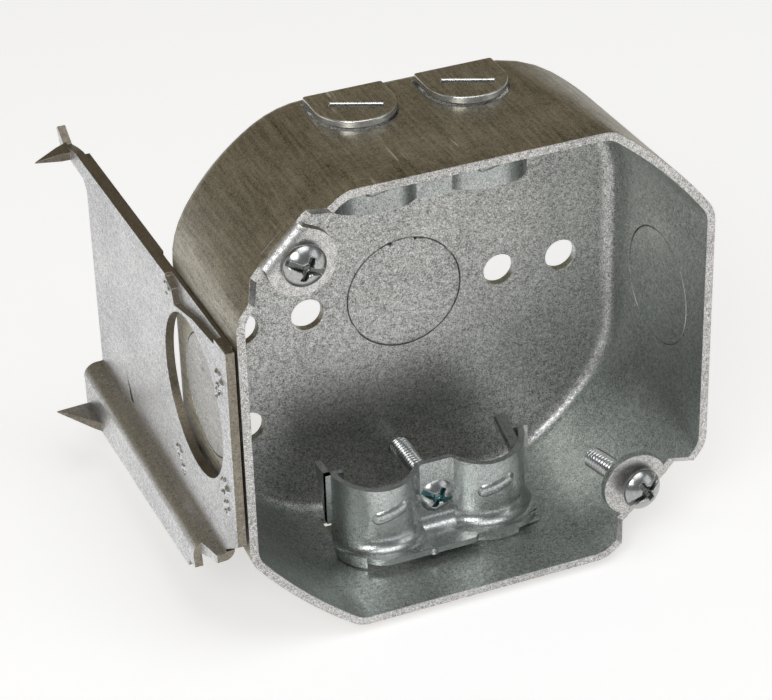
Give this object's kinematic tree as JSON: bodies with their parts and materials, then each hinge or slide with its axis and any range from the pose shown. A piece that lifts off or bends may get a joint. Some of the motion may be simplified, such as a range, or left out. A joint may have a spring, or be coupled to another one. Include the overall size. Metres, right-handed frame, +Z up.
{
  "type": "electrical junction box",
  "caption": "Shallow octagonal sheet-steel electrical box with cable clamps, knockouts, cover screws and a stud bracket.",
  "frame": {"origin": "centre of the back wall's outer face, midway between the screw holes", "axes": "+Y out of the back wall, open front faces -Y, +Z up, +X to the right of somebody who looks into the box"},
  "size_m": [0.1031, 0.0977, 0.0922],
  "materials": {
    "box_sheet": "zinc-plated steel sheet, mottled grey, satin",
    "bracket_sheet": "zinc-plated steel sheet, light speckled grey, satin",
    "knockout_sheet": "zinc-plated steel sheet, mottled grey, satin",
    "pryout_sheet": "zinc-plated steel sheet with a bright sheared edge",
    "clamp_sheet": "stamped zinc-plated steel, semi-bright",
    "screw_zinc": "clear zinc-plated screw, bright"
  },
  "bodies": {
    "box": {"box_shell": "box_sheet", "mounting_bracket": "bracket_sheet"},
    "back_knockout": {"back_knockout": "knockout_sheet"},
    "left_knockout": {"left_knockout": "knockout_sheet"},
    "right_knockout": {"right_knockout": "knockout_sheet"},
    "upper_left_pryout": {"upper_left_pryout": "pryout_sheet"},
    "upper_right_pryout": {"upper_right_pryout": "pryout_sheet"},
    "lower_left_pryout": {"lower_left_pryout": "pryout_sheet"},
    "lower_right_pryout": {"lower_right_pryout": "pryout_sheet"},
    "upper_clamp": {"upper_cable_clamp": "clamp_sheet"},
    "lower_clamp": {"lower_cable_clamp": "clamp_sheet"},
    "upper_clamp_screw": {"upper_clamp_screw": "screw_zinc"},
    "lower_clamp_screw": {"lower_clamp_screw": "screw_zinc"},
    "upper_left_cover_screw": {"upper_left_cover_screw": "screw_zinc"},
    "lower_right_cover_screw": {"lower_right_cover_screw": "screw_zinc"}
  },
  "joints": [
    {"name": "back_knockout_hinge", "type": "hinge", "parent": "box", "child": "back_knockout", "pos_m": [0, -0.0016, 0.0111], "axis": [-1, 0, 0], "range_deg": [0, 80]},
    {"name": "left_knockout_hinge", "type": "hinge", "parent": "box", "child": "left_knockout", "pos_m": [-0.04285, -0.0192, 0.0111], "axis": [0, -1, 0], "range_deg": [0, 80]},
    {"name": "right_knockout_hinge", "type": "hinge", "parent": "box", "child": "right_knockout", "pos_m": [0.04285, -0.0192, 0.0111], "axis": [0, 1, 0], "range_deg": [0, 80]},
    {"name": "upper_left_pryout_hinge", "type": "hinge", "parent": "box", "child": "upper_left_pryout", "pos_m": [-0.0122, -0.0054, 0.0445], "axis": [-1, 0, 0], "range_deg": [0, 75]},
    {"name": "lower_left_pryout_hinge", "type": "hinge", "parent": "box", "child": "lower_left_pryout", "pos_m": [-0.0122, -0.0054, -0.0445], "axis": [1, 0, 0], "range_deg": [0, 75]},
    {"name": "upper_right_pryout_hinge", "type": "hinge", "parent": "box", "child": "upper_right_pryout", "pos_m": [0.0086, -0.0054, 0.0445], "axis": [-1, 0, 0], "range_deg": [0, 75]},
    {"name": "lower_right_pryout_hinge", "type": "hinge", "parent": "box", "child": "lower_right_pryout", "pos_m": [0.0086, -0.0054, -0.0445], "axis": [1, 0, 0], "range_deg": [0, 75]},
    {"name": "lower_clamp_slide", "type": "slide", "parent": "box", "child": "lower_clamp", "axis": [0, 1, 0], "range_m": [-0.001, 0.0082]},
    {"name": "upper_clamp_slide", "type": "slide", "parent": "box", "child": "upper_clamp", "axis": [0, 1, 0], "range_m": [-0.006, 0.0024]},
    {"name": "lower_clamp_screw_turn", "type": "hinge", "parent": "lower_clamp", "child": "lower_clamp_screw", "pos_m": [-0.0018, -0.0181, -0.0337], "axis": [0, 1, 0], "range_deg": [-454, 4310]},
    {"name": "upper_clamp_screw_turn", "type": "hinge", "parent": "upper_clamp", "child": "upper_clamp_screw", "pos_m": [0.0011, -0.0128, 0.0337], "axis": [0, 1, 0], "range_deg": [-2722, 1906]},
    {"name": "upper_left_cover_screw_slide", "type": "slide", "parent": "box", "child": "upper_left_cover_screw", "axis": [0, -1, 0], "range_m": [-0.0005, 0.009]},
    {"name": "lower_right_cover_screw_slide", "type": "slide", "parent": "box", "child": "lower_right_cover_screw", "axis": [0.1467, -0.9816, 0.1219], "range_m": [-0.0005, 0.009]}
  ],
  "couplings": [
    {"joint": "lower_clamp_screw_turn", "follows": "lower_clamp_slide", "rad_per_m": 7915.8},
    {"joint": "upper_clamp_screw_turn", "follows": "upper_clamp_slide", "rad_per_m": 7915.8}
  ]
}
